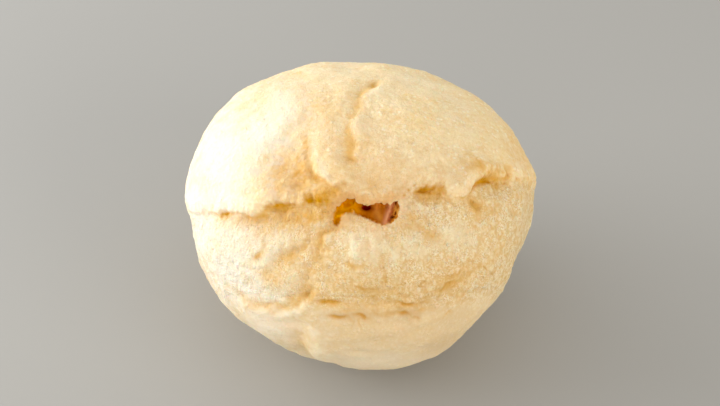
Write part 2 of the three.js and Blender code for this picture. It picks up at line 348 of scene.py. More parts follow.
# The seam: across, up, how far it gapes (0 to 1), how much its lip hangs over it (0 to 1) and how
# wide the ledge under it is (mm).
seam = {
    "corners": [
        (-40.3, 1.2, 0.05, 0.1, 1.4), (-36, 0.7, 0.08, 0.2, 1.4), (-32.4, 0.8, 0.2, 0.3, 1.2),
        (-30.9, 0.5, 0.5, 0.35, 1.0), (-29.6, 0.7, 0.95, 0.35, 1.0), (-28.5, 1.0, 0.5, 0.3, 1.2),
        (-26.4, 0.6, 0.25, 0.4, 1.8), (-24.2, 0.1, 0.4, 0.5, 2.2), (-22.2, 0.1, 0.5, 0.5, 2.6),
        (-20.7, 1.2, 0.5, 0.5, 3.0), (-19.3, 2.6, 0.9, 0.6, 3.4), (-17.5, 3.1, 1.0, 0.7, 3.6),
        (-15.4, 3.1, 0.75, 0.7, 3.4), (-13.6, 2.5, 0.25, 0.6, 3.2), (-12.3, 2.6, 0.4, 0.4, 3.0),
        (-11.3, 3.4, 0.5, 0.25, 2.6), (-9.7, 3.7, 0.45, 0.3, 2.6), (-8.9, 3.4, 0.4, 0.3, 2.2),
        (-7.8, 3.6, 0.45, 0.3, 1.8), (-6.4, 3.4, 0.3, 0.3, 1.4), (-4.3, 3.6, 0.2, 0.2, 0.9),
        (-2.5, 4.4, 0.1, 0.1, 0.8), (-0.6, 3.2, 0.1, 0.1, 0.8), (2, 2.6, 0.1, 0.1, 0.8),
        (4.5, 2.9, 0.1, 0.1, 0.8), (8.2, 3.4, 0.1, 0.1, 0.8), (9.8, 4.5, 0.1, 0.2, 0.8),
        (11.2, 5.5, 0.4, 0.2, 0.8), (12.6, 6.0, 0.8, 0.2, 0.8), (14.4, 6.3, 0.9, 0.2, 0.9),
        (16.2, 6.1, 0.7, 0.3, 0.9), (17.9, 5.3, 0.35, 0.5, 1.0), (19.5, 4.3, 0.3, 0.8, 1.1),
        (21.6, 4.2, 0.3, 0.9, 0.9), (23.4, 5.6, 0.5, 0.7, 0.8), (25.0, 7.5, 1.0, 0.3, 0.9),
        (27.2, 8.6, 1.0, 0.3, 1.2), (30, 8.4, 0.5, 0.4, 1.4), (33, 8.4, 0.3, 0.2, 1.3),
        (37, 8.2, 0.12, 0.1, 1.0), (39.6, 7.6, 0.08, 0.1, 1.0),
    ],
    "sink": 1.4,
    "edge": 0.6,          # width of the drop under the lip
    "lip": 0.85,
    "lipAt": 2.4,
    "ragged": 0.38,
    "stepDown": 0.7,      # how much lower the lower lobe lies
    "crumb": 0.09,        # crumbs along the lip
    "hang": 0.6,          # how far the lip hangs over at most
}

# Where the seam has torn open: the rim on the face (across, up), as a shallow arch that runs into a
# deeper hollow to its right, with webs of dough across it.
opening = {
    "rim": [(-6.0, -1.9), (-5.9, 0.4), (-5.2, 1.9), (-3.8, 2.7), (-2.6, 3.8), (-1.2, 3.7),
            (-0.5, 2.5), (0.6, 2.4), (1.9, 2.4), (2.8, 2.6), (3.6, 2.9), (4.6, 2.5), (5.5, 2.8),
            (6.3, 2.3), (7.0, 3.2), (7.9, 3.3), (8.4, 1.9), (8.1, 0.5), (7.6, -0.6), (6.6, -1.5),
            (4.7, -2.0), (3.2, -1.5), (1.6, -0.7), (0.1, -0.2), (-1.4, 0.4), (-3.4, 0.2),
            (-4.0, -0.6), (-4.4, -1.8), (-5.2, -2.3)],
    "ragged": 0.24,
    "wall": 0.7,                 # how far in from the rim it is fully deep
    "depths": (1.5, 3.4),        # of the arch and of the hollow
    "turnsDeep": (-2.4, 1.4),    # where across it goes from one to the other
    "turnsRed": (-1.4, 0.8),     # and where its colour does
    "undercut": 0.7,
    "pits": [((1.25, 1.8), (1.05, 0.58), 2.4), ((-3.0, 2.6), (1.3, 0.6), 0.5),
             ((7.6, 2.9), (0.5, 0.35), 1.4), ((7.5, 0.5), (0.25, 0.45), 1.3),
             ((6.9, -0.3), (0.3, 0.25), 1.0), ((3.3, 2.6), (0.45, 0.22), 1.0)],
    # from, to, half width, how much of the depth it fills, how pink it shows
    "webs": [((6.6, 2.5), (5.1, -1.7), 0.7, 0.4, 0.7), ((3.4, 1.7), (4.0, -0.6), 0.8, 0.12, 0.1),
             ((7.6, 2.4), (7.3, 0.3), 0.7, 0.4, 0.0), ((-4.9, 0.0), (-3.6, 0.0), 0.4, 0.9, 0.0)],
}

# Patches of colour: place (across, up), half sizes, turn in degrees, amount.
tints = {
    "brown": [    # toasted
        # upper lobe
        ((-9, 24), (8, 5), -20, 0.3), ((-12, 15.5), (1.6, 3.6), 10, 0.7),
        ((-2.4, 15.5), (1.3, 4.8), 5, 0.5), ((1, 14), (3.5, 6), 0, 0.2),
        ((37.5, 14), (3.5, 8), 10, 0.5), ((-13.8, 12.6), (1.3, 2.2), -30, 1.0),
        ((-17.8, 10.4), (2.7, 6.0), -37, 0.9), ((24.4, 10.4), (1.8, 2.0), 20, 0.8),
        ((-13.2, 9), (3.8, 6), 0, 1.0), ((3.5, 8), (12, 5), 0, 0.3),
        ((-17, 6.5), (3.2, 2.4), 0, 0.8),
        # along the seam, left
        ((-16.8, 1.6), (3.4, 1.1), 3, 1.0), ((-12.5, -0.3), (9, 2.0), 3, 1.0),
        ((-20, -0.6), (5, 1.3), 8, 0.7), ((-24, -1.0), (4.4, 1.2), 5, 0.75),
        ((-18, -2.4), (4, 1.5), 0, 0.6),
        # around the hollow
        ((-5.2, 5.0), (2.6, 1.6), -10, 1.0), ((-7.3, 4.8), (4, 1.8), 5, 1.0),
        ((6.6, 4), (3, 1.2), 0, 0.5), ((10.2, 0.6), (1.8, 2.6), -15, 0.5),
        ((-6.2, -0.2), (1.5, 2.4), 0, 0.8),
        # along the seam, right
        ((29.5, 8.6), (3.6, 2.0), -8, 0.9), ((35.5, 6.5), (2.5, 4), 0, 0.2),
        ((14.6, 4.9), (2.8, 0.8), 0, 1.0), ((14.4, 4.0), (3.4, 1.2), 0, 0.85),
        ((24.6, 1.8), (1.5, 1.8), 0, 0.9), ((27, 1.2), (1.6, 1.2), 0, 0.5),
        # lower lobe
        ((15.3, -4.3), (2.4, 1.0), -15, 0.8), ((-8.7, -4.8), (1.2, 3.8), 4, 0.8),
        ((-15.5, -8.7), (4, 1.8), 33, 0.6), ((14, -9), (4, 1.2), -20, 0.3),
        ((-1.4, -10.2), (1.3, 1.0), 0, 0.6), ((2.6, -10.5), (2.2, 2.4), 0, 0.3),
        ((-19, -13.3), (3.4, 2), 0, 0.6), ((-13, -13.5), (6, 3.4), 10, 0.2),
        ((20, -13.5), (9, 3.2), 22, 0.4), ((-22, -14), (5, 3), -20, 0.15),
        ((2.5, -14.5), (8, 3.4), 0, 0.4), ((0.4, -15), (2.8, 1.6), 0, 0.6),
        ((7.2, -15.7), (2.4, 1.0), 0, 0.6),
        # the lower line and under it
        ((-9.5, -16.5), (3, 2.2), 10, 0.3), ((6, -18.5), (9, 2.2), 0, 0.4),
    ],
    "pale": [    # pale blisters, and painted highlights on lit ridges
        # upper lobe
        ((4.0, 28.3), (1.7, 0.8), 28, 0.8), ((-1.2, 19.8), (0.6, 1.8), -20, 0.6),
        ((-19.8, 16), (1.6, 5.5), -37, 0.9), ((-9.6, 14), (0.6, 4.2), 11, 0.4),
        ((-7.8, 9.9), (0.7, 2.4), 22, 0.8),
        # around the hollow
        ((10.6, 5.3), (0.4, 0.3), 0, 0.8), ((9.7, 4.7), (0.45, 0.35), 0, 0.9),
        ((8.9, 3.7), (0.4, 0.3), 0, 0.8), ((10.2, 3.5), (0.4, 0.35), 0, 0.7),
        ((9.1, 2.2), (1.3, 2.3), -15, 0.55), ((11.7, -3.4), (2.0, 1.0), -15, 0.6),
        ((-6.6, -4.2), (0.7, 2.4), 8, 0.6),
        # lower lobe
        ((19.5, -4), (4.5, 2.6), -10, 0.6), ((10.6, -5.4), (2.4, 1.3), 20, 0.7),
        ((-18.5, -6), (4.5, 1.2), 33, 0.6), ((-1.3, -6.2), (1.3, 3.0), 0, 1.0),
        ((2.5, -6.5), (5.5, 4), 0, 0.6), ((-19.2, -7), (3, 1.2), 33, 0.6),
        ((-16, -7.2), (3.4, 1.4), 33, 0.5), ((7.2, -7.5), (1.3, 2.1), -15, 0.9),
        ((11.5, -7.6), (3.6, 1.6), -8, 0.6), ((-22, -10.5), (4.5, 2.4), 0, 0.9),
        ((-14, -13.7), (3, 2), 0, 0.5), ((-20, -14.5), (5, 3.6), -10, 0.25),
        # the lower line and under it
        ((-19, -17.6), (3.5, 1.8), -10, 0.9), ((-12.4, -19.4), (1.5, 0.9), 30, 0.6),
        ((-15.4, -21.3), (2.6, 0.8), 12, 0.7), ((-9.6, -28.6), (1.6, 4), 5, 0.5),
    ],
    "windowLitAndPale": [    # nearly white: mostly painted light of the window on the left side, a little pale dough low down
        # upper lobe
        ((-17, 24), (6, 5), -30, 0.7), ((-21.5, 18), (4.2, 7.5), -38, 1.0),
        ((-20, 15.2), (1.5, 5), -37, 0.6), ((-30, 13), (11, 14), 0, 0.9),
        ((-24.5, 6.5), (3, 3), 0, 0.5),
        # along the seam, left
        ((-28, 2.8), (6, 3.4), 0, 1.0), ((-37, -2), (6, 14), 0, 1.0),
        # lower lobe
        ((-28, -6), (8, 7), 0, 0.8), ((-30, -12), (8, 8), 0, 1.0),
        # the lower line and under it
        ((-25, -16.5), (6, 3), -15, 0.9), ((-18.5, -17.4), (4, 2.2), -10, 0.5),
        ((-29, -18), (4, 3), 0, 0.8), ((-20, -25), (8, 5), 0, 0.6), ((0, -33), (20, 4), 0, 0.35),
    ],
    "amber": [    # glazed, where the seam gapes
        # upper lobe
        ((2.7, 30.6), (1.2, 0.5), 28, 0.65), ((-9.2, 7.9), (1.2, 0.8), -30, 0.4),
        # along the seam, left
        ((-8.4, 3.6), (1.0, 0.8), 0, 1.0), ((-10.9, 3.4), (1.1, 1.0), 10, 1.0),
        ((-8.6, 3.4), (1.3, 1.0), 0, 1.0), ((-17.6, 2.4), (2.6, 0.55), 5, 0.9),
        ((-17, 1.9), (2.2, 0.5), 5, 0.5), ((-16.8, 1.7), (2.6, 0.8), 5, 0.5),
        ((-29.6, 0.6), (0.8, 0.35), 15, 0.9), ((-23.2, -0.4), (2.2, 0.4), 0, 0.35),
        # around the hollow
        ((11.0, 6.4), (0.5, 0.2), 20, 0.5), ((9.9, 5.5), (0.35, 0.25), 0, 0.7),
        ((-5.8, 4.7), (0.9, 1.4), -10, 0.5), ((9.0, 4.4), (0.3, 0.25), 0, 0.6),
        ((-6.9, 3.3), (1.3, 1.5), 0, 0.9), ((-7.4, 1.2), (1.2, 1.2), 0, 0.35),
        # along the seam, right
        ((26.8, 7.6), (2.4, 0.8), 8, 1.0), ((31.2, 6.5), (1.2, 0.5), 0, 0.4),
        ((14.0, 5.8), (2.6, 0.55), 4, 1.0), ((13.6, 5.3), (1.9, 0.35), 4, 1.0),
        ((14.8, 5.1), (2.6, 0.5), 0, 0.35),
        # lower lobe
        ((-22, -8.6), (0.8, 0.45), 40, 0.4),
        # the lower line and under it
        ((-7.0, -18.3), (1.7, 0.4), 3, 0.7),
    ],
    "rosy": [    # pinkish, beside and below the hollow
        ((9.2, 2.4), (1.6, 2.4), -15, 0.4), ((2.5, -3.4), (5, 2.8), 0, 0.6),
    ],
    "paintedShade": [    # painted shade: duller in the hollows of the skin and under its lips
        # upper lobe
        ((-6.9, 18.5), (3.6, 6), 0, 0.6), ((-11.7, 17.8), (5, 7), 0, 0.4),
        ((2.5, 17.8), (5, 8), 0, 0.35), ((-12.5, 15.5), (2, 3.5), -10, 0.3),
        ((2.5, 15.5), (4.5, 6), 0, 0.5), ((-11.5, 14.5), (2.2, 4), 0, 0.4),
        ((-5.5, 14), (3, 7), 5, 0.45), ((-12, 13.5), (3, 3.5), 0, 0.5),
        ((0.2, 13.5), (2, 2.6), 0, 0.4), ((3.5, 9.5), (11, 6.5), 0, 0.6),
        ((-15, 8.5), (4.8, 5.5), -20, 0.85),
        # along the seam, left
        ((-24, 0), (3, 1.4), 0, 0.6), ((-16.5, -1.0), (7, 1.7), 3, 0.55),
        ((-12, -2.6), (4, 1.8), 0, 0.5),
        # around the hollow
        ((6, 6), (9, 3), 0, 0.75), ((-7.5, 5.6), (6, 2.4), 5, 0.6),
        # along the seam, right
        ((19.4, 8.6), (5, 3), 0, 0.65), ((28.3, 7.1), (3, 2), 0, 0.4),
        ((13.6, 5.5), (2.2, 0.6), 4, 1.0),
        # lower lobe
        ((-10.5, -7), (2, 2.2), 0, 0.5),
        # the lower line and under it
        ((15.5, -19.5), (4, 2.6), 15, 0.45), ((10.5, -21), (4.5, 1.6), 0, 0.8),
        ((0, -21.4), (6, 1.5), 0, 0.6), ((20, -23), (7, 3.5), 20, 0.4),
        ((8, -26.5), (14, 4.5), 0, 0.3), ((18, -28.4), (5, 2.6), 20, 0.8),
    ],
    "warmRimAndShade": [    # warm rim of the hollow: the torn dough's tone, and painted shade under the lip above it
        ((5, 4.0), (3.8, 1.0), 0, 0.7), ((9, 3.6), (2.4, 1.8), 0, 0.3),
        ((0.2, 3.5), (2.8, 1.2), -12, 1.0), ((-5.8, 2.6), (1.2, 1.4), 0, 0.6),
        ((-2.2, -0.9), (3, 0.9), 10, 0.5), ((3.5, -1.9), (3.5, 1.6), 0, 0.4),
    ],
    "hollow": [    # red brown in the arch
        ((-3.2, 2.5), (1.7, 0.8), 15, 0.8),
    ],
    "honey": [    # lighter strips inside the hollow
        ((7.6, 1.5), (0.9, 1.7), 0, 1.0), ((3.8, 0.6), (0.7, 1.4), 5, 0.35),
    ],
}

# How far the grain of the skin stands proud or sinks, and how wide it is, in mm.
grain = {
    "lump": 0.35,             # soft unevenness
    "lumpSize": 9,
    "lumplet": 0.12,
    "lumpletSize": 3.2,
    "wrinkle": 0.17,          # wrinkles of the lower lobe
    "wrinkleSize": 1.7,
    "wrinkleLines": 2.4,      # how far apart its sunken lines lie
    "crinkle": 0.07,
    "crinkleSize": 1.1,
    "pebble": 0.05,
    "pebbleSize": 0.6,
    "streak": 0.12,           # thin level wrinkles near the lower line
    "streakSize": 1.5,
    "pleat": 0.13,            # pleats that fan out below the hollow
    "pleatsFrom": (2, 2),     # where on the face they fan out from
    "skirt": (-21, -16.5),    # where up the face smooth skin turns into wrinkled
}


def swell(skin):
    step = 360 / len(outline["rises"])
    around = [(i * step, most, outline["spread"]) for i, most in enumerate(outline["rises"])]
    around += [(angle, most, outline["touchSpread"]) for angle, most in outline["touches"]]
    for angle, most, spread in around:
        turn = math.radians(angle)
        middle = across * math.cos(turn) + up * math.sin(turn) + out * outline["forward"]
        middle /= np.linalg.norm(middle)
        apart = np.degrees(np.arccos(np.clip(skin.directions @ middle, -1, 1)))
        skin.rise += most * bell(apart / spread)
    for place, size, turn, most in swellings:
        skin.rise += most * bell(skin.spot(place, size, turn))


def crinkle(skin):
    # the lower lobe is finely wrinkled down to its skirt; the upper lobe is only pebbled
    skirt = ease(skin.up, *grain["skirt"]) * skin.front
    lower = skirt * ease(-skin.overSeam, -0.2, 2)
    level = ease(-skin.up, 7, 13)              # wrinkles turn level near the skirt
    upright = np.stack([skin.across * 1.3, skin.up * 0.75, skin.out * 0.8], axis=1)
    crosswise = np.stack([skin.across * 0.6, skin.up * 1.6, skin.out * 0.8], axis=1)
    wrinkles = 0
    for places, share in ((upright, 1 - level), (crosswise, level)):
        lines = 1 - np.abs(unevenness(places, grain["wrinkleLines"], 4)) * 2
        lumps = unevenness(places, grain["wrinkleSize"], 14)
        wrinkles = wrinkles + share * (0.6 * lumps - 0.5 * ease(lines, 0, 1))
    lumplets = unevenness(skin.base, grain["lumpletSize"], 15)
    crinkles = unevenness(skin.base, grain["crinkleSize"], 2)
    pebbles = unevenness(skin.base, grain["pebbleSize"], 3)
    skin.rise += grain["lump"] * unevenness(skin.base, grain["lumpSize"], 1)
    skin.rise += grain["lumplet"] * lumplets * (0.35 + 0.65 * skin.front)
    skin.rise += grain["wrinkle"] * wrinkles * (0.12 + 0.88 * lower) * (0.5 + 0.5 * skirt)
    skin.rise += grain["crinkle"] * crinkles * (0.35 + 0.65 * skirt)
    skin.rise += grain["pebble"] * pebbles * (0.3 + 0.7 * skirt)
    skin.mark("wrinkled", skirt)
    skin.mark("lower", lower)
    skin.mark("lines", ease(-wrinkles, 0.1, 0.8) * lower)
    band = bell((skin.up + 15.5 - 0.12 * skin.across) / 4) * ease(skin.across, -9, 3) * skin.front
    climb = skin.up - 0.22 * skin.across       # they lean up to the right
    leaning = np.stack([skin.across * 0.3, climb * 1.1, skin.out * 0.4], axis=1)
    streaks = ease(1 - 4 * np.abs(unevenness(leaning, grain["streakSize"], 24)), 0.2, 1) * band
    streaks = streaks * ease(unevenness(skin.base, 2.2, 25), -0.3, 0.5)
    skin.rise -= grain["streak"] * streaks
    skin.mark("streaks", streaks)
    # pleats that fan out below the hollow
    right, over = skin.across - grain["pleatsFrom"][0], skin.up - grain["pleatsFrom"][1]
    reach = np.hypot(right, over)
    turn = np.arctan2(right, -over)
    fan = np.stack([turn * 7, reach * 0.2, 0 * reach], axis=1)
    fanned = lower * ease(reach, 3, 5) * (1 - ease(reach, 10, 18))
    pleats = unevenness(fan, 1.4, 26, fanned > 0)
    pleats = pleats + 0.5 * unevenness(skin.base, 1.6, 27, fanned > 0)
    skin.rise += grain["pleat"] * pleats * fanned
    skin.mark("pale", 0.4 * ease(pleats, 0.2, 1.1) * fanned)
    skin.mark("tan", 0.3 * ease(-pleats, 0.3, 1.1) * fanned)


def foldIn(skin, given):
    fold = {**plainFold, **given}
    route = Route(fold["corners"])
    aside, past, spots = route.near(skin.base)
    close = (np.abs(aside) < 7) & (past < 7)
    # the line comes and goes, and strays to both sides
    strength = route.values[spots, 0] * bell(past / fold["fade"])
    strength = strength * np.maximum(0, 1 + fold["broken"] * unevenness(skin.base, 2.6, 21, close))
    aside = aside + fold["ragged"] * (unevenness(skin.base, 2.8, 5, close)
                                      + 0.5 * unevenness(skin.base, 1.1, 22, close))
    leftWidth, rightWidth = fold["widths"]
    line = np.where(aside > 0, bell(aside / leftWidth), bell(aside / rightWidth))
    skin.rise -= strength * fold["sink"] * line
    skin.rise += strength * fold["lip"] * bell((aside - fold["lipAt"]) / (0.7 * fold["lipAt"]))
    # the lip slides down over the line
    hang = strength * fold["over"] * bell((aside - leftWidth) / (1.3 * leftWidth))
    skin.slide -= hang[:, None] * route.side[spots]
    # tint along the sunken line and to its right: partly baked colour, partly painted shade in the fold
    shadowed = np.where(aside > 0, bell(aside / leftWidth), bell(aside / fold["tintWidth"]))
    skin.mark("tan", fold["tan"] * strength * shadowed)
    skin.mark("amber", fold["amber"] * strength * shadowed)
    skin.mark("streaks", fold["streak"] * strength * shadowed)


def splitSeam(skin, route, aside, past, spots):
    gape, over, ledge = route.values[spots].T
    close = np.abs(aside) < 8
    aside = aside + seam["ragged"] * (unevenness(skin.base, 3.0, 6, close)
                                      + 0.4 * unevenness(skin.base, 1.2, 7, close)
                                      + 0.15 * unevenness(skin.base, 0.6, 8, close))
    gape = gape * (1 + 0.2 * unevenness(skin.base, 2.2, 9, close)) * bell(past / 2)
    crumbs = unevenness(skin.base, 0.8, 16, close)
    skin.rise += seam["crumb"] * crumbs * bell((aside - 0.9) / 1.1)
    crack = np.where(aside > 0, bell(aside / seam["edge"]), bell(aside / ledge))
    skin.rise -= seam["sink"] * gape * crack
    skin.rise += seam["lip"] * np.sqrt(gape) * bell((aside - seam["lipAt"]) / 1.9)
    # the lower lobe lies lower, and the lip hangs over it
    step = ease(-aside, -0.3, 1.2) * bell(np.minimum(aside + 2, 0) / 9) * bell(past / 4)
    skin.rise -= seam["stepDown"] * step
    hang = seam["hang"] * over * bell((aside - 0.5) / 0.9) * bell(past / 2)
    skin.slide -= hang[:, None] * route.side[spots]
    blotches = ease(unevenness(skin.base, 2.5, 33, close), -0.7, 0.4)
    glazed = np.where(aside > 0, bell(aside / 0.3), bell(aside / (0.3 + 0.25 * ledge)))
    # the tan band on the ledge under the lip: partly toasted dough, partly painted shade
    toastAndLipShade = np.where(aside > 0, bell(aside / 0.5), bell(aside / (0.5 + 0.9 * ledge)))
    skin.mark("amber", gape * blotches * glazed)
    skin.mark("tan", gape * toastAndLipShade)


def insideRim(places, rim):
    # how far inside a closed outline each place is; outside it is negative
    rim = np.array(rim, float)
    ends = np.roll(rim, -1, axis=0)
    apart = np.full(len(places), 99.0)
    inside = np.zeros(len(places), bool)
    for start, end in zip(rim, ends):
        run = end - start
        share = np.clip(((places - start) @ run) / (run @ run), 0, 1)
        apart = np.minimum(apart, np.linalg.norm(places - start - share[:, None] * run, axis=1))
        crosses = (start[1] > places[:, 1]) != (end[1] > places[:, 1])
        with np.errstate(divide="ignore", invalid="ignore"):
            level = start[0] + (places[:, 1] - start[1]) / (end[1] - start[1]) * run[0]
        inside ^= crosses & (places[:, 0] < level)
    return np.where(inside, apart, -apart)


def tearOpen(skin):
    places = np.stack([skin.across, skin.up], axis=1)
    close = skin.spot((1.5, 0.7), (12, 9)) < 1
    within = np.full(len(places), -9.0)
    within[close] = insideRim(places[close], opening["rim"])
    upper = ease(skin.up, -0.5, 1.5)
    within += opening["ragged"] * (0.3 + 0.7 * upper) * unevenness(skin.base, 0.8, 10, close)
    within += 0.5 * opening["ragged"] * unevenness(skin.base, 0.4, 11, close)
    # thin webs of dough that still cross it
    web = np.zeros(len(places))
    pink = np.zeros(len(places))
    for start, end, width, fill, shows in opening["webs"]:
        start, end = np.array(start), np.array(end)
        run = end - start
        share = np.clip(((places - start) @ run) / (run @ run), 0, 1)
        gap = np.linalg.norm(places - start - share[:, None] * run, axis=1)
        web = np.maximum(web, fill * bell(gap / width))
        pink = np.maximum(pink, shows * bell(gap / width))
    opened = ease(within, -0.05, opening["wall"])
    hollow = ease(skin.across, *opening["turnsDeep"])
    shallow, full = opening["depths"]
    deep = (shallow + (full - shallow) * hollow) * opened * (1 - web)
    pitted = 0
    for place, size, extra in opening["pits"]:
        pitted = pitted + extra * bell(skin.spot(place, size)) * opened
    skin.slide -= out * (deep + pitted)[:, None]
    skin.slide += up * (opening["undercut"] * 4 * opened * (1 - opened) * upper)[:, None]
    # colours of its inside and of its rim
    torn = ease(within, -0.05, 0.4)
    redder = ease(skin.across, *opening["turnsRed"])
    skin.mark("hollow", torn * redder)
    skin.mark("amber", torn)
    skin.mark("torn", torn)
    skin.mark("web", pink * torn * hollow)
    # where the pits are deepest the colour darkens: painted shade
    skin.mark("deep", ease(pitted, 0.5, 1.3))
    skin.mark("rosy", bell((within + 0.35) / 0.6) * (0.3 + 0.3 * upper))
    # the warm rim, strongest above the hollow: partly the torn dough's tone, partly painted shade under
    # the lip
    warmRimAndShade = bell((within + 0.1) / (0.9 + 0.7 * upper)) * (0.6 + 0.35 * upper)
    skin.mark("warmRimAndShade", warmRimAndShade * (1 - 0.75 * ease(skin.across, 5, 8)))


def tintPatches(skin):
    edge = 1 + 0.4 * unevenness(skin.base, 2.4, 31) + 0.35 * unevenness(skin.base, 0.9, 32)
    edge = np.maximum(edge, 0.6)
    for name, patches in tints.items():
        for place, size, turn, amount in patches:
            patch = amount * bell(skin.spot(place, size, turn) * edge)
            if name in ("honey", "hollow"):
                patch = patch * skin.marks["torn"]
            skin.mark(name, patch)


# Where the ball's faces are made smaller, in mm on the face.
dense = {
    "face": ((0, 1), (36, 27)),           # place and half sizes
    "hollow": ((4.3, 0.7), (6.3, 4.8)),
    "seam": (5, 2.8),                     # half widths of the first and the second band along it
}


def denseBall():
    # a round ball whose faces are smallest along the seam
    mesh = bmesh.new()
    fineness = 7
    bmesh.ops.create_icosphere(mesh, subdivisions=fineness, radius=1)
    seamRoute = Route([c[:2] for c in seam["corners"]], 0.5)
    for level in range(3):
        mesh.verts.ensure_lookup_table()
        skin = Skin(np.array([v.co.normalized() for v in mesh.verts]))
        aside, past, spots = seamRoute.near(skin.base)
        toSeam = np.hypot(aside, past)
        toHollow = skin.spot(*dense["hollow"])
        if level == 0:
            fine = (skin.spot(*dense["face"]) < 1) | (toSeam < dense["seam"][0])
        elif level == 1:
            fine = (toSeam < dense["seam"][1]) | (toHollow < 1)
        else:
            fine = toHollow < 0.85
        edges = [e for e in mesh.edges if fine[e.verts[0].index] and fine[e.verts[1].index]]
        bmesh.ops.subdivide_edges(mesh, edges=edges, cuts=1, use_grid_fill=True)
        bmesh.ops.triangulate(mesh, faces=[f for f in mesh.faces if len(f.verts) > 3])
        for v in mesh.verts:
            v.co.normalize()
        mesh.verts.index_update()
    print("ball of dough:", len(mesh.verts), "points")
    return mesh


def shapePuff(mesh):
    mesh.verts.ensure_lookup_table()
    directions = np.array([v.co[:] for v in mesh.verts])
    skin = Skin(directions / np.linalg.norm(directions, axis=1, keepdims=True))
    seamRoute = Route(seam["corners"])
    aside, past, spots = seamRoute.near(skin.base)
    skin.overSeam = aside
    swell(skin)
    crinkle(skin)
    for fold in folds:
        foldIn(skin, fold)
    splitSeam(skin, seamRoute, aside, past, spots)
    tearOpen(skin)
    tintPatches(skin)
    print("swellings, folds, seam and hollow are shaped")
    points = skin.base + skin.directions * skin.rise[:, None] + skin.slide

    # the foot: the skin turns in and lies flat
    lift = points[:, 2] + ball["waist"]
    soft = ball["footSoftness"]
    points[:, 2] = -ball["waist"] + (lift + np.sqrt(lift * lift + soft * soft)) / 2

    # into the solid's box, in metres
    least, most = points.min(0), points.max(0)
    scale = np.array(high - low) / (most - least)
    points = np.array(low) + (points - least) * scale
    middle = np.array(low) - least * scale
    for v, point in zip(mesh.verts, points):
        v.co = point
    return skin.marks, Vector(middle)


def makePuff():
    mesh = denseBall()
    marks, middle = shapePuff(mesh)
    data = bpy.data.meshes.new("puff")
    mesh.to_mesh(data)
    mesh.free()
    for name, values in marks.items():
        values = np.clip(values, 0, 1).astype(np.float32)
        data.attributes.new(name, "FLOAT", "POINT").data.foreach_set("value", values)
    data.polygons.foreach_set("use_smooth", [True] * len(data.polygons))
    puff = bpy.data.objects.new("puff", data)
    bpy.context.scene.collection.objects.link(puff)
    print("puff:", len(data.polygons), "faces")
    return puff, middle


class Wire:
    # a shader socket; sums on it add their own Math nodes

    def __init__(self, board, socket):
        self.board = board
        self.socket = socket

    def math(self, operation, *values):
        return self.board.add("ShaderNodeMath", {"operation": operation}, dict(enumerate(values)))

    def __add__(self, other):
        return self.math("ADD", self, other)

    def __radd__(self, other):
        return self.math("ADD", other, self)

    def __sub__(self, other):
        return self.math("SUBTRACT", self, other)

    def __rsub__(self, other):
        return self.math("SUBTRACT", other, self)

    def __mul__(self, other):
        return self.math("MULTIPLY", self, other)

    def __rmul__(self, other):
        return self.math("MULTIPLY", other, self)


class Board:
    # one material's nodes

    def __init__(self, name):
        self.material = bpy.data.materials.new(name)
        self.material.use_nodes = True
        self.tree = self.material.node_tree
        self.shader = self.tree.nodes["Principled BSDF"]

    def put(self, socket, value):
        if isinstance(value, Wire):
            self.tree.links.new(value.socket, socket)
        elif isinstance(value, tuple) and len(value) == 3 and socket.type == "RGBA":
            socket.default_value = (*value, 1)
        else:
            socket.default_value = value

    def add(self, kind, settings, inputs, output=0):
        made = self.tree.nodes.new(kind)
        for name, value in settings.items():
            setattr(made, name, value)
        for name, value in inputs.items():
            self.put(made.inputs[name], value)
        return Wire(self, made.outputs[output])

    def mark(self, name):
        return self.add("ShaderNodeAttribute", {"attribute_name": name}, {}, "Fac")

    def mix(self, share, first, second, blend="MIX"):
        return self.add("ShaderNodeMix", {"data_type": "RGBA", "blend_type": blend},
                        {0: share, 6: first, 7: second}, 2)

    def noise(self, place, scale, detail=2.0, rough=0.5):
        return self.add("ShaderNodeTexNoise", {},
                        {"Vector": place, "Scale": scale, "Detail": detail, "Roughness": rough}, "Fac")

    def between(self, value, start, end):
        # 0 at start and below, 1 at end and above
        return self.add("ShaderNodeMapRange", {"interpolation_type": "SMOOTHSTEP"},
                        {"Value": value, "From Min": start, "From Max": end}, "Result")


# Colours of the baked skin, as shares of red, green and blue.
dough = {
    "pale": (0.93, 0.76, 0.48),
    "cream": (0.89, 0.68, 0.37),
    "under": (0.70, 0.53, 0.31),      # smooth skin below the lower line
    "wheat": (0.76, 0.50, 0.21),      # between the grains
    "grain": (1.0, 0.86, 0.61),
    # nearly white: painted window light on the left side, and pale dough
    "blister": (0.98, 0.87, 0.62),
    "whiteLightAndPale": (0.98, 0.885, 0.72),      # where it is hardly baked
    "tan": (0.80, 0.47, 0.135),
    "brown": (0.66, 0.34, 0.06),
    "ochre": (0.69, 0.33, 0.0),       # glaze in the seam's gaps
    "gold": (0.54, 0.235, 0.0),
    "rosy": (0.90, 0.65, 0.42),
    # rim of the hollow: torn dough's tone and painted shade under the lip
    "warmRimAndShade": (0.73, 0.42, 0.16),
    "amber": (0.70, 0.29, 0.0),       # arch of the hollow
    "cavity": (0.60, 0.20, 0.002),    # the hollow itself
    "web": (0.86, 0.47, 0.30),
    "honey": (0.88, 0.46, 0.07),
    # painted shade in the deepest pits of the hollow, dark red
    "pit": (0.33, 0.008, 0.001),
    "paintedShade": (0.82, 0.76, 0.72),       # painted shade: darkens what it lies on
    "glow": (1.0, 0.5, 0.25),         # how far red, green and blue travel inside, as shares
    "glowReach": 1.6,                 # mm
    "glowWeight": 0.3,
}

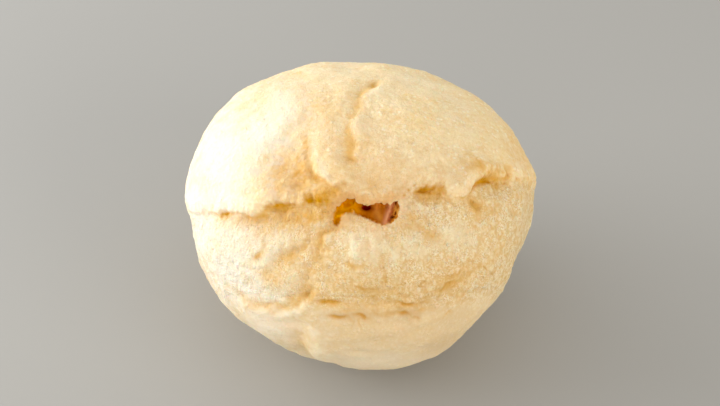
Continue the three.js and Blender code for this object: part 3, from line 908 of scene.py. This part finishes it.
# How closely the patterns of the baked skin repeat, in waves per mm.
pattern = {
    "broad": 0.055,       # slow drift from cream to pale
    "patchy": 0.25,
    "clumps": 0.42,       # where the grains gather
    "mottle": 0.9,
    "flecks": 1.7,
    "speckle": 3.2,
    "scattered": 0.62,    # pale grains
    "crowded": 1.1,       # pebbles of the lower lobe
    "wander": 1.1,        # how the grains stray from an even lay
    "crinkles": 0.9,
    "fine": 3.6,
}

# How deep the bumps are, as shares of a millimetre.
bumps = {
    "crinkles": 0.45,
    "grains": 0.2,
    "pebbles": 0.08,
    "lowerPebbles": 0.14,    # more on the lower lobe
    "fine": 0.2,
}


def bakedSkin():
    board = Board("baked skin")
    # object coordinates, in mm
    place = board.add("ShaderNodeVectorMath", {"operation": "SCALE"},
                      {0: board.add("ShaderNodeTexCoord", {}, {}, "Object"), "Scale": 1 / mm})
    broad = board.noise(place, pattern["broad"], 3.0, 0.55)
    patchy = board.noise(place, pattern["patchy"], 4.0, 0.62)
    mottle = board.noise(place, pattern["mottle"], 3.0, 0.6)
    flecks = board.noise(place, pattern["flecks"], 3.0, 0.6)
    speckle = board.noise(place, pattern["speckle"], 2.0, 0.5)
    # grains: small pale blisters, scattered above and crowded below
    wander = board.add("ShaderNodeTexNoise", {},
                       {"Vector": place, "Scale": pattern["wander"], "Detail": 1.0}, "Color")
    strayed = board.add("ShaderNodeVectorMath", {"operation": "MULTIPLY_ADD"},
                        {0: wander, 1: (0.8, 0.8, 0.8), 2: place})
    turned = board.add("ShaderNodeMapping", {},
                       {"Vector": strayed, "Rotation": (tilt - math.pi / 2, 0, 0)})
    upright = board.add("ShaderNodeVectorMath", {"operation": "MULTIPLY"},
                        {0: turned, 1: (1.2, 0.75, 1.0)})
    scattered = board.add("ShaderNodeTexVoronoi", {"feature": "F1"},
                          {"Vector": strayed, "Scale": pattern["scattered"]}, "Distance")
    crowded = board.add("ShaderNodeTexVoronoi", {"feature": "F1"},
                        {"Vector": upright, "Scale": pattern["crowded"]}, "Distance")
    wrinkled = board.mark("wrinkled")
    lower = board.mark("lower")

    # the dough's own colour, with its flecks and grains
    color = board.mix(board.between(broad, 0.35, 0.68), dough["cream"], dough["pale"])
    color = board.mix((1 - wrinkled) * 0.7, color, dough["under"])
    color = board.mix(board.between(patchy, 0.5, 0.75) * (0.08 + wrinkled * 0.4), color, dough["tan"])
    color = board.mix(board.between(flecks, 0.5, 0.66) * (0.2 + lower * 0.6), color, dough["wheat"])
    color = board.mix(board.between(mottle, 0.5, 0.3) * (0.1 + wrinkled * 0.3), color, dough["blister"])
    grains = board.between(scattered, 0.36, 0.12) * board.between(patchy, 0.3, 0.55)
    clumps = board.between(board.noise(place, pattern["clumps"], 2.0), 0.35, 0.62)
    pebbles = board.between(crowded, 0.55, 0.15) * (0.25 + 0.75 * clumps)
    color = board.mix(grains * (0.2 + 0.75 * wrinkled), color, dough["grain"])
    gaps = board.between(crowded, 0.4, 0.8) * (1.1 - 0.6 * clumps)
    color = board.mix(gaps * (0.12 + 0.7 * lower), color, dough["wheat"])
    color = board.mix(pebbles * (0.15 + 0.72 * lower), color, dough["grain"])
    darkSpecks = board.between(speckle, 0.5, 0.64) * clumps * (0.1 + 0.2 * wrinkled + 0.7 * lower)
    paleSpecks = board.between(speckle, 0.48, 0.36) * clumps * (0.1 + 0.15 * wrinkled + 0.6 * lower)
    color = board.mix(darkSpecks, color, dough["wheat"])
    color = board.mix(paleSpecks, color, dough["grain"])
    color = board.mix(board.mark("lines") * 0.4, color, dough["wheat"])

    # baked patches, folds and the seam, with painted light and shade
    browned = board.mark("brown")
    color = board.mix(browned * (0.6 + 0.8 * mottle), color, dough["tan"])
    color = board.mix(browned * board.between(mottle, 0.45, 0.7) * 0.5, color, dough["brown"])
    # pale blisters, partly painted highlights on lit ridges
    color = board.mix(board.mark("pale") * (0.4 + mottle), color, dough["blister"])
    # painted window light, whitening the left side, with a little pale dough low down
    color = board.mix(board.mark("windowLitAndPale") * (0.45 + mottle), color, dough["whiteLightAndPale"])
    color = board.mix(board.mark("tan") * 0.9, color, dough["tan"])
    color = board.mix(board.mark("streaks") * 0.85, color, dough["brown"])
    color = board.mix(board.mark("rosy") * 0.5, color, dough["rosy"])
    glazed = board.mark("amber")
    color = board.mix(glazed * (0.7 + 0.6 * mottle), color, dough["ochre"])
    color = board.mix(glazed * board.between(mottle, 0.45, 0.65) * 0.6, color, dough["gold"])
    # painted shade, multiplied over the colour in the hollows of the skin
    color = board.mix(board.mark("paintedShade"), color, dough["paintedShade"], "MULTIPLY")
    # warm rim of the hollow, partly painted shade under the lip
    color = board.mix(board.mark("warmRimAndShade") * 0.95, color, dough["warmRimAndShade"])

    # inside the hollow
    torn = board.mark("torn")
    color = board.mix(glazed * torn, color, dough["amber"])
    color = board.mix(board.mark("hollow"), color, dough["cavity"])
    color = board.mix(board.mark("web") * 0.8, color, dough["web"])
    color = board.mix(board.mark("honey") * (0.4 + speckle), color, dough["honey"])
    # the deepest pits darkened: painted shade
    color = board.mix(board.mark("deep"), color, dough["pit"])

    # blisters, crinkles and pores
    crinkles = board.noise(place, pattern["crinkles"], 6.0, 0.65)
    fine = board.noise(place, pattern["fine"], 3.0, 0.6)
    height = crinkles * bumps["crinkles"] + grains * bumps["grains"]
    height = height + pebbles * (bumps["pebbles"] + bumps["lowerPebbles"] * lower)
    height = height + fine * bumps["fine"]
    height = height * (0.5 + 0.3 * wrinkled + 0.4 * lower) * (1 - 0.9 * torn)
    bump = board.add("ShaderNodeBump", {},
                     {"Strength": 1.0, "Distance": mm, "Height": height}, "Normal")

    skin = board.shader
    board.put(skin.inputs["Base Color"], color)
    board.put(skin.inputs["Roughness"], 0.5 + 0.15 * fine)
    board.put(skin.inputs["Normal"], bump)
    board.put(skin.inputs["Subsurface Weight"], dough["glowWeight"])
    board.put(skin.inputs["Subsurface Radius"], dough["glow"])
    board.put(skin.inputs["Subsurface Scale"], dough["glowReach"] * mm)
    board.put(skin.inputs["Specular IOR Level"], 0.0)
    print("baked skin is mixed")
    return board.material


puff, puffMiddle = makePuff()
puff.data.materials.append(bakedSkin())
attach(puff, "root")
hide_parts(node)
print("the puff is shaped and finished")


view = {
    "distance": 331,      # from the middle of the ball, in mm
    "lens": 70,
    "sensorWidth": 36,
    "aimUp": 3.0,         # the camera looks this far above the middle of the ball
    "aimAcross": -0.1,
}

studio = {
    "floorColor": (0.36, 0.352, 0.333),
    "floorRoughness": 0.9,
    "floorReach": 4,      # from its middle to its edge, in metres
    "skyColor": (1.0, 0.985, 0.955),
    "skyStrength": 0.845,
    # name, where it stands (mm), how wide (mm), watts, colour
    "lamps": [
        ("window", (-600, 40, 210), 420, 2.8, (0.96, 0.98, 1.0)),
        ("far window", (-520, 330, 260), 420, 1.35, (0.96, 0.98, 1.0)),
        ("right fill", (480, -420, 280), 420, 1.55, (1.0, 0.95, 0.86)),
        ("low fill", (-120, -600, 40), 420, 0.8, (1.0, 0.97, 0.92)),
    ],
}


def pointAt(thing, target):
    thing.rotation_mode = "QUATERNION"
    thing.rotation_quaternion = (Vector(target) - thing.location).to_track_quat("-Z", "Y")


def placeCamera(middle):
    data = bpy.data.cameras.new("camera")
    data.lens = view["lens"]
    data.sensor_width = view["sensorWidth"]
    camera = bpy.data.objects.new("camera", data)
    bpy.context.scene.collection.objects.link(camera)
    camera.location = middle + Vector(out) * view["distance"] * mm
    pointAt(camera, middle + Vector(up * view["aimUp"] + across * view["aimAcross"]) * mm)
    bpy.context.scene.camera = camera


def lightStudio(target):
    scene = bpy.context.scene
    scene.view_settings.view_transform = "Standard"
    world = bpy.data.worlds.new("studio")
    scene.world = world
    world.use_nodes = True
    sky = world.node_tree.nodes["Background"]
    sky.inputs["Color"].default_value = (*studio["skyColor"], 1)
    sky.inputs["Strength"].default_value = studio["skyStrength"]
    for name, place, size, watts, color in studio["lamps"]:
        data = bpy.data.lights.new(name, "AREA")
        data.shape = "DISK"
        data.size = size * mm
        data.energy = watts
        data.color = color
        lamp = bpy.data.objects.new(name, data)
        scene.collection.objects.link(lamp)
        lamp.location = Vector(place) * mm
        pointAt(lamp, target)


def layFloor():
    mesh = bmesh.new()
    bmesh.ops.create_grid(mesh, x_segments=1, y_segments=1, size=studio["floorReach"])
    data = bpy.data.meshes.new("floor")
    mesh.to_mesh(data)
    mesh.free()
    floor = bpy.data.objects.new("floor", data)
    bpy.context.scene.collection.objects.link(floor)
    material = bpy.data.materials.new("floor paper")
    material.use_nodes = True
    paper = material.node_tree.nodes["Principled BSDF"]
    paper.inputs["Base Color"].default_value = (*studio["floorColor"], 1)
    paper.inputs["Roughness"].default_value = studio["floorRoughness"]
    data.materials.append(material)


placeCamera(puffMiddle)
lightStudio(puffMiddle)
layFloor()
print("camera, light and floor are set")
